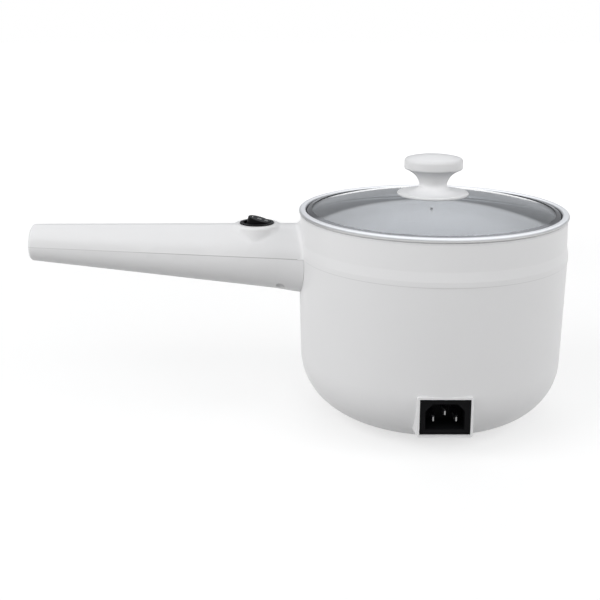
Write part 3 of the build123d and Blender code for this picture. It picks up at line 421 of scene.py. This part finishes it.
def makeBlades():
    shape = bmesh.new()
    root, tabEnd = blades["root"], blades["tabEnd"]
    shoulder = blades["start"] + blades["tip"]
    wide, high = blades["section"]
    tabWide, tabHigh = blades["tab"]
    across, upward = blades["tipSection"]
    for x, z in blades["spots"]:
        corners = block(shape, (x, (shoulder + root) / 2, z), (wide, root - shoulder, high))
        faces = {face for point in corners for face in point.link_faces}
        end = min(faces, key=lambda face: face.calc_center_median().y)
        grown = bmesh.ops.extrude_face_region(shape, geom=[end])["geom"]
        tip = [item for item in grown if isinstance(item, bmesh.types.BMVert)]
        bmesh.ops.delete(shape, geom=[end], context="FACES_ONLY")
        bmesh.ops.translate(shape, verts=tip, vec=(0, -blades["tip"], 0))
        bmesh.ops.scale(shape, verts=tip, vec=(across, 1, upward), space=Matrix.Translation((-x, 0, -z)))
        block(shape, (x, (root + tabEnd) / 2, z), (tabWide, tabEnd - root, tabHigh))
    look = plainMetal("inletBlade", blades["low"], blades["high"], blades["roughness"])
    makePiece("inletBlades", shape, "pot", "contact_brass", look, ["inlet_pins"], blades["sharp"])


makeBlades()
print("inlet blades made")


crossHead = {
    "dome": ((0.80, 1.0), (0.93, 0.92), (1.0, 0.68)),  # shares of the head's radius and height
    "tip": (0.6, 0.4),          # the shank's end, as shares of its radius
    "reach": 0.52,              # of the cross, as a share of the head's radius
    "half": 0.13,
    "depth": 0.55,              # of the head's height
    "taper": 0.8,
    "steps": 32,
}


def crossHeadScrew(shape, head, shank, matrix):
    # head and shank as (radius, length); the head's face points along the matrix's Z
    part = bmesh.new()
    radius, height = head
    thick, length = shank
    tipWide, tipLong = crossHead["tip"]
    outline = [(radius * wide, height * high) for wide, high in crossHead["dome"]]
    outline += [(radius, 0), (thick, 0), (thick, thick * tipLong - length)]
    outline += [(thick * tipWide, -length), (0, -length)]
    spun(part, outline, crossHead["steps"])
    bmesh.ops.remove_doubles(part, verts=part.verts, dist=1e-6)
    face = [edge for edge in part.edges if edge.is_boundary]
    reach, half = radius * crossHead["reach"], radius * crossHead["half"]
    path = [(reach, -half), (reach, half), (half, half), (half, reach), (-half, reach), (-half, half),
            (-reach, half), (-reach, -half), (-half, -half), (-half, -reach), (half, -reach), (half, -half)]
    corners = [part.verts.new((x, y, height)) for x, y in path]
    cross = [part.edges.new((corners[i - 1], corners[i])) for i in range(len(corners))]
    bmesh.ops.triangle_fill(part, edges=face + cross, use_beauty=True)
    walls = bmesh.ops.extrude_edge_only(part, edges=cross)["geom"]
    floor = [item for item in walls if isinstance(item, bmesh.types.BMVert)]
    taper = crossHead["taper"]
    sink = Matrix.Translation((0, 0, -height * crossHead["depth"])) @ Matrix.Diagonal((taper, taper, 1, 1))
    bmesh.ops.transform(part, matrix=sink, verts=floor)
    lower = [edge for edge in part.edges if edge.is_boundary]
    bmesh.ops.triangle_fill(part, edges=lower, use_beauty=True)
    bmesh.ops.recalc_face_normals(part, faces=part.faces)
    bmesh.ops.transform(part, matrix=matrix, verts=part.verts)
    copy = bpy.data.meshes.new("screwCopy")
    part.to_mesh(copy)
    part.free()
    shape.from_mesh(copy)
    bpy.data.meshes.remove(copy)


def facing(place, direction):
    return Matrix.Translation(place) @ Vector(direction).to_track_quat("Z", "Y").to_matrix().to_4x4()


handleScrew = {
    "head": (2.9 * mm, 2.0 * mm),
    "shank": (1.5 * mm, 11.8 * mm),
    "sunk": 3.0 * mm,             # the head's seat below the parting line
    "spots": ((-100.4 * mm, -13.5 * mm), (-100.4 * mm, 13.5 * mm), (-236.938 * mm, 0)),
}
baseScrew = {
    "head": (3.6 * mm, 2.4 * mm),
    "shank": (2.0 * mm, 12.0 * mm),
    "seat": 4.6 * mm,
    "ring": 33.0 * mm,
    "turns": (90, 210, 330),      # degrees around the pot
}
knobScrew = {"head": (4.2 * mm, 2.4 * mm), "shankRadius": 2.0 * mm}


def makeScrews():
    tilt = parting["tilt"]
    up = Vector((sin(tilt), 0, cos(tilt)))
    shape = bmesh.new()
    for x, y in handleScrew["spots"]:
        point = Vector((x, y, parting["height"] + (parting["start"] - x) * tan(tilt)))
        seat = point - up * handleScrew["sunk"]
        crossHeadScrew(shape, handleScrew["head"], handleScrew["shank"], facing(seat, -up))
    makePiece("handleScrews", shape, "pot", "fastener", instead=["handle_screws"])
    shape = bmesh.new()
    for degree in baseScrew["turns"]:
        turn = radians(degree)
        point = (baseScrew["ring"] * cos(turn), baseScrew["ring"] * sin(turn), baseScrew["seat"])
        crossHeadScrew(shape, baseScrew["head"], baseScrew["shank"], facing(point, (0, 0, -1)))
    makePiece("baseScrews", shape, "pot", "fastener", instead=["base_screws"])
    low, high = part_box("knob_screw")
    seat = low[2] + knobScrew["head"][1]
    shape = bmesh.new()
    shank = (knobScrew["shankRadius"], high[2] - seat)
    crossHeadScrew(shape, knobScrew["head"], shank, facing((0, 0, seat), (0, 0, -1)))
    # the knob screw takes the rim steel's near-black painted shade
    hideFromGloss(makePiece("knobScrew", shape, "lid", "rim_steel", instead=["knob_screw"]))


makeScrews()
print("screws made")


studio = {
    "floorSize": 6.0,
    "floorDrop": 0.5 * mm,
    "floorTone": (0.42, 0.42, 0.42),
    "floorRoughness": 0.9,
    "floorGlow": 0.62,         # near the pot, where the shadow falls
    "glowFrom": 0.45,
    "glowTo": 1.4,             # distance at which the floor is as white as the backdrop
    "ambientLow": 0.89,        # light from around and below
    "ambientHigh": 0.0,        # from overhead, which is left to the lamps
    "ambientFrom": -0.2,       # sine of the height
    "ambientTo": 0.9,
    "reflectionLow": 0.41,     # what gloss sees near the horizon
    "reflectionMid": 1.15,
    "reflectionHigh": 2.0,
    "reflectionFrom": 0.29,    # sine of the height at which it starts to brighten
    "reflectionTo": 0.32,
    "reflectionTop": 0.62,
    "reflectionTint": (0.96, 0.985, 1.03),
    "archCentre": 0.12,        # the bright part hangs lower here and rises to both sides
    "archBend": 1.1,
    "archReach": 0.25,
}


def directRays(tree):  # camera rays, and those that come by gloss or through glass
    path = tree.nodes.new("ShaderNodeLightPath")
    seen = Term(tree, path.outputs["Is Camera Ray"])
    glossy = Term(tree, path.outputs["Is Glossy Ray"])
    through = Term(tree, path.outputs["Is Transmission Ray"])
    return seen, glossy + through


def makeFloor():
    shape = bmesh.new()
    bmesh.ops.create_grid(shape, x_segments=1, y_segments=1, size=studio["floorSize"])
    mesh = bpy.data.meshes.new("studioFloor")
    shape.to_mesh(mesh)
    shape.free()
    made = bpy.data.objects.new("studioFloor", mesh)
    made.location.z = -studio["floorDrop"]
    scene.collection.objects.link(made)
    finish = Finish("studioFloor", Base_Color=opaque(studio["floorTone"]), Roughness=studio["floorRoughness"],
                    Emission_Color=(1, 1, 1, 1))
    radius = axisDistance(finish, finish.place())[0]
    far = radius.over(studio["glowFrom"], studio["glowTo"])
    seen, bent = directRays(finish.tree)
    direct = (seen + bent).math("MINIMUM", 1.0)
    finish.set("Emission Strength", direct * (studio["floorGlow"] + far * (1.0 - studio["floorGlow"])))
    made.data.materials.append(finish.material)


lamps = {
    "leftSoftbox": {"place": (-1.3, -0.6, 0.9), "aim": (0, 0, 0.08), "size": 1.2, "power": 15.8},
    "rightSoftbox": {"place": (1.3, -0.6, 0.9), "aim": (0, 0, 0.08), "size": 1.2, "power": 12.3},
    "frontSoftbox": {"place": (-0.1, -1.5, 1.2), "aim": (0, 0, 0.08), "size": 1.2, "power": 4.8},
    "topSoftbox": {"place": (-0.1, 0.1, 1.7), "aim": (-0.05, 0, 0.05), "size": 1.6, "power": 3.2},
    "backSoftbox": {"place": (0.0, 1.3, 1.2), "aim": (0, 0, 0.08), "size": 1.2, "power": 4.9},
}


def makeLamps():
    for name, lamp in lamps.items():
        light = bpy.data.lights.new(name, "AREA")
        light.shape = "SQUARE"
        light.size = lamp["size"]
        light.energy = lamp["power"]
        made = bpy.data.objects.new(name, light)
        scene.collection.objects.link(made)
        made.location = lamp["place"]
        aim = Vector(lamp["aim"]) - Vector(lamp["place"])
        made.rotation_euler = aim.to_track_quat("-Z", "Y").to_euler()
        hideFromGloss(made)  # gloss sees the world's bright arch instead of the lamps


def makeWorld():
    world = bpy.data.worlds.new("studioWorld")
    scene.world = world
    world.use_nodes = True
    tree = world.node_tree
    background = tree.nodes["Background"]
    direction = tree.nodes.new("ShaderNodeTexCoord")
    split = tree.nodes.new("ShaderNodeSeparateXYZ")
    tree.links.new(direction.outputs["Generated"], split.inputs[0])
    sideways, skyward = Term(tree, split.outputs[0]), Term(tree, split.outputs[2])
    seen, bent = directRays(tree)
    mirrored = (bent.math("MINIMUM", 1.0) - seen).math("MAXIMUM", 0.0)
    soft = 1.0 - seen - mirrored
    aside = (sideways - studio["archCentre"]).math("ABSOLUTE").math("MINIMUM", studio["archReach"])
    arched = skyward - aside * aside * studio["archBend"]
    low, mid, high = studio["reflectionLow"], studio["reflectionMid"], studio["reflectionHigh"]
    reflection = low + arched.over(studio["reflectionFrom"], studio["reflectionTo"]) * (mid - low)
    reflection = reflection + arched.over(studio["reflectionTo"], studio["reflectionTop"]) * (high - mid)
    overhead = skyward.over(studio["ambientFrom"], studio["ambientTo"])
    ambient = studio["ambientLow"] + overhead * (studio["ambientHigh"] - studio["ambientLow"])
    feed(tree, background.inputs["Strength"], seen + mirrored * reflection + soft * ambient)
    bluish = tree.nodes.new("ShaderNodeMix")
    bluish.data_type = "RGBA"
    feed(tree, bluish.inputs[0], mirrored)
    bluish.inputs[6].default_value = (1, 1, 1, 1)
    bluish.inputs[7].default_value = opaque(studio["reflectionTint"])
    tree.links.new(bluish.outputs[2], background.inputs["Color"])


view = {"place": (-0.0879, -0.649, 0.273), "down": 13.21, "lens": 59.82, "sensor": 36.0, "shift": -0.1083}


def makeCamera():
    data = bpy.data.cameras.new("camera")
    data.sensor_width = view["sensor"]
    data.lens = view["lens"]
    data.shift_y = view["shift"]
    camera = bpy.data.objects.new("camera", data)
    scene.collection.objects.link(camera)
    camera.location = view["place"]
    camera.rotation_euler = (radians(90 - view["down"]), 0, 0)
    scene.camera = camera


makeFloor()
makeLamps()
makeWorld()
makeCamera()
scene.view_settings.view_transform = "Standard"
print("room, lamps and camera ready")
